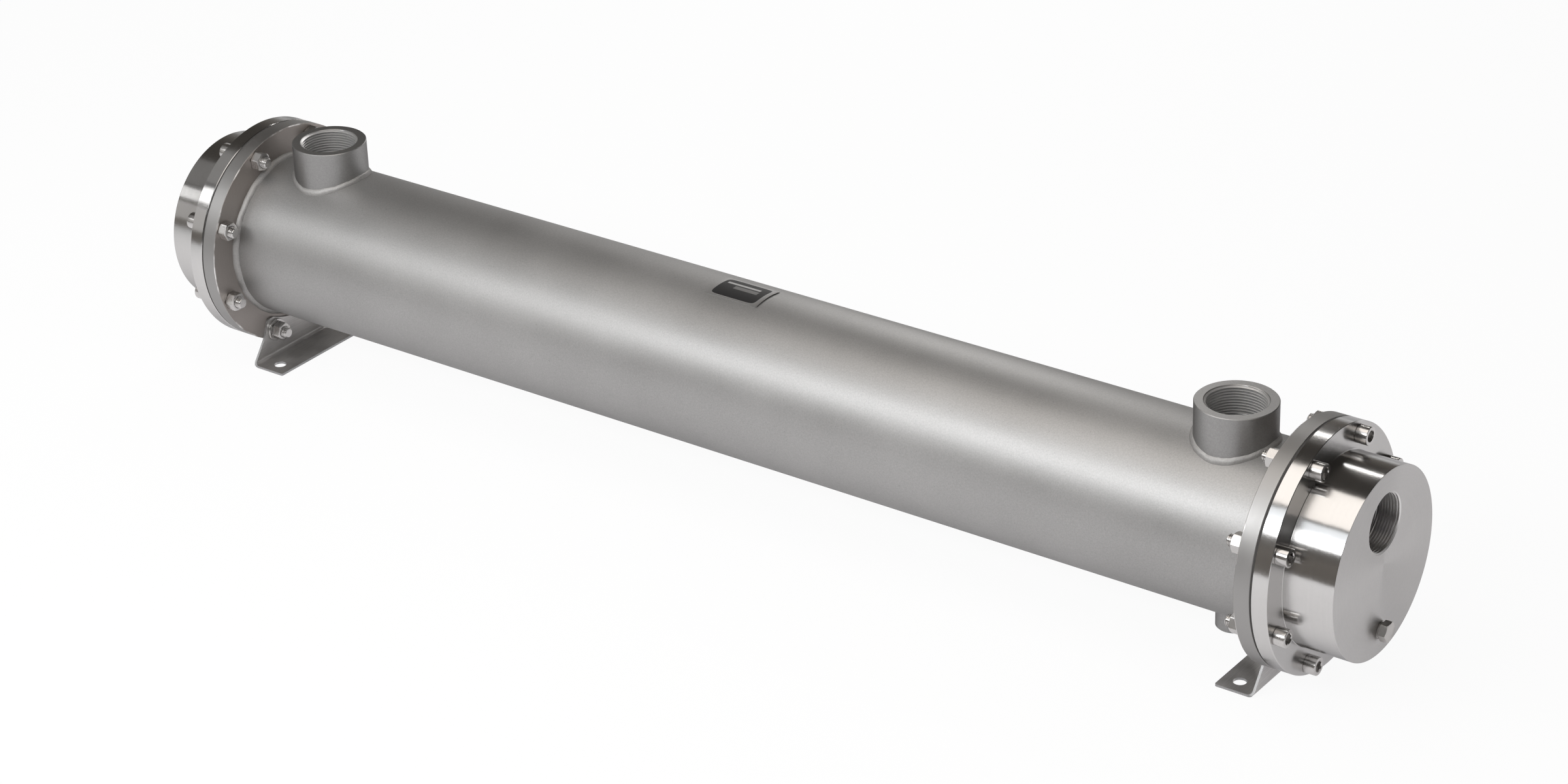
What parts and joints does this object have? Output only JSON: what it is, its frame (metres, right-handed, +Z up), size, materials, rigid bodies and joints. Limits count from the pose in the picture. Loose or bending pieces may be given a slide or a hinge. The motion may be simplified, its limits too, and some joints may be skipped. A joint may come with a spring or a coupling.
{
  "type": "shell and tube heat exchanger",
  "caption": "Horizontal stainless steel shell and tube heat exchanger with threaded top nozzles, bolted polished heads with end ports, bent sheet feet and a drain boss.",
  "frame": {"origin": "on the floor under the middle of the shell", "axes": "+X along the shell, +Z up; the shell's axis is 105 mm above the floor"},
  "size_m": [1.147, 0.192, 0.2035],
  "materials": {
    "shell_steel": "bead blasted, satin",
    "sheet_steel": "turned, satin",
    "polished_steel": "turned and polished",
    "fastener_steel": "bright",
    "weld_steel": "rippled bead, satin",
    "foot_steel": "cold rolled sheet, dull",
    "gasket_fibre": "matt black",
    "plate_metal": "printed black with a bare border",
    "tube_steel": "drawn tube, satin"
  },
  "bodies": {
    "root": {"shell": "shell_steel", "tube_sheet_left": "sheet_steel", "tube_sheet_right": "sheet_steel", "shell_weld_left": "weld_steel", "shell_weld_right": "weld_steel", "gasket_left": "gasket_fibre", "gasket_right": "gasket_fibre", "head_left": "polished_steel", "head_right": "polished_steel", "head_plug_left": "fastener_steel", "head_plug_right": "fastener_steel", "cap_screws_left": "fastener_steel", "cap_screws_right": "fastener_steel", "nuts_left": "fastener_steel", "nuts_right": "fastener_steel", "foot_washers_left": "fastener_steel", "foot_washers_right": "fastener_steel", "foot_left": "foot_steel", "foot_right": "foot_steel", "shell_nozzle_left": "shell_steel", "shell_nozzle_right": "shell_steel", "nozzle_weld_left": "weld_steel", "nozzle_weld_right": "weld_steel", "drain_boss": "shell_steel", "drain_weld": "weld_steel", "nameplate": "plate_metal", "tube_bundle": "tube_steel", "baffles": "tube_steel", "tie_rods": "tube_steel"}
  },
  "joints": []
}
